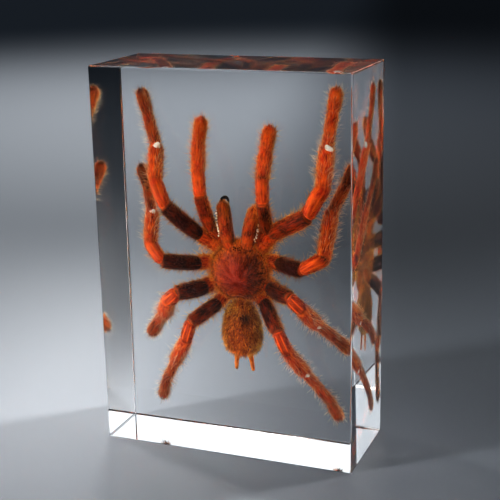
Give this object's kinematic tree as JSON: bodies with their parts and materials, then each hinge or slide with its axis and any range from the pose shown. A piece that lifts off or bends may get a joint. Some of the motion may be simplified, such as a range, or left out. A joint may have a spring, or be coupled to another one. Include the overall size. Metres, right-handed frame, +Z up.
{
  "type": "spider in resin block",
  "caption": "Clear polished resin block that stands on its narrow end, with a dried hairy spider cast inside it, head up and legs spread, shown from above.",
  "frame": {"origin": "middle of the block's bottom face", "axes": "+Z up along the block's height, +X to the right of the front face, -Y out of the front face that shows the spider's back"},
  "size_m": [0.075, 0.0306, 0.11],
  "materials": {
    "resin": "clear, polished on all faces",
    "specimen": "dried, hairy, orange-brown with darker thighs and pale bristles"
  },
  "bodies": {
    "root": {"resin_front": "resin", "resin_back": "resin", "tarantula": "specimen"}
  },
  "joints": []
}
